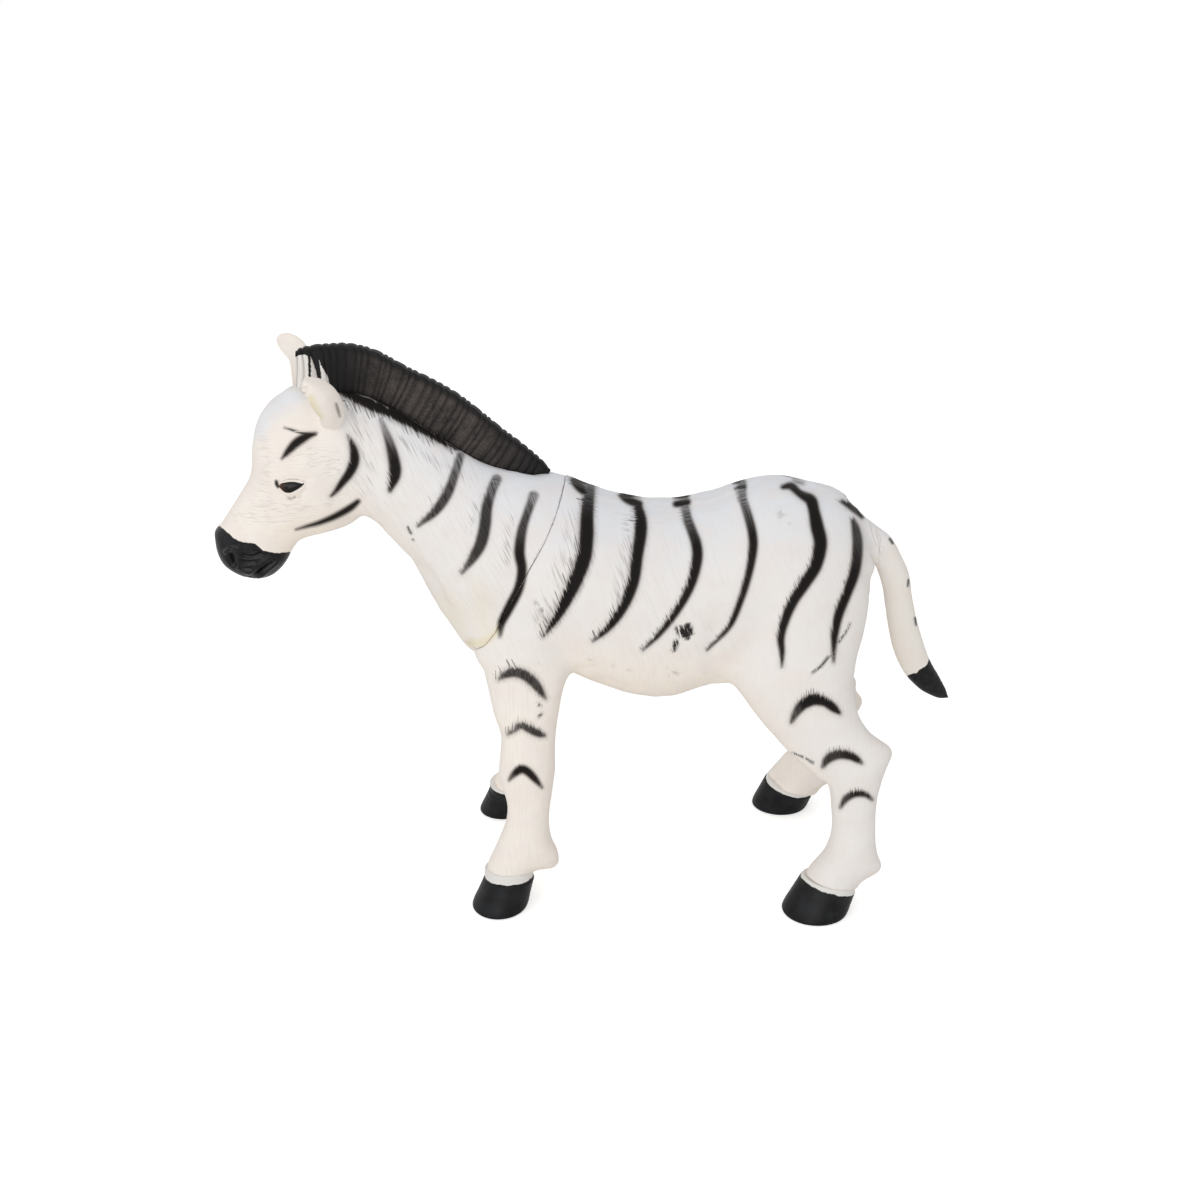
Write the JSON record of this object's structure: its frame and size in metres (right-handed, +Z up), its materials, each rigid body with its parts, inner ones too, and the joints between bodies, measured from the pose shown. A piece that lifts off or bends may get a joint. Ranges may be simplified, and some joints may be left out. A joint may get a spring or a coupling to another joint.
{
  "type": "toy wild animal figure",
  "caption": "Standing toy zebra foal in soft moulded vinyl, its hollow head glued to a hollow stuffed body, with plugged-in hooves, tail, ears and mane.",
  "frame": {"origin": "middle of the bottom of the bounding box, on the floor under the hooves", "axes": "+Z up, -X towards the nose, -Y towards the animal's left side"},
  "size_m": [0.2606, 0.0916, 0.1966],
  "materials": {
    "body_skin": "soft white vinyl with painted black stripes",
    "head_skin": "soft white vinyl with painted black stripes and muzzle",
    "mane_vinyl": "grooved vinyl painted charcoal",
    "ear_vinyl": "thin white vinyl",
    "eye_gloss": "glossy brown-black bead",
    "tail_vinyl": "white vinyl with a black painted tip",
    "hoof_vinyl": "satin black paint below a white collar",
    "filling": "white polyester fibre"
  },
  "bodies": {
    "root": {"body_shell": "body_skin", "head_shell": "head_skin", "mane": "mane_vinyl", "ear_left": "ear_vinyl", "ear_right": "ear_vinyl", "eye_left": "eye_gloss", "eye_right": "eye_gloss", "tail": "tail_vinyl", "hoof_front_left": "hoof_vinyl", "hoof_front_right": "hoof_vinyl", "hoof_hind_left": "hoof_vinyl", "hoof_hind_right": "hoof_vinyl", "body_filling": "filling", "neck_filling": "filling"}
  },
  "joints": []
}
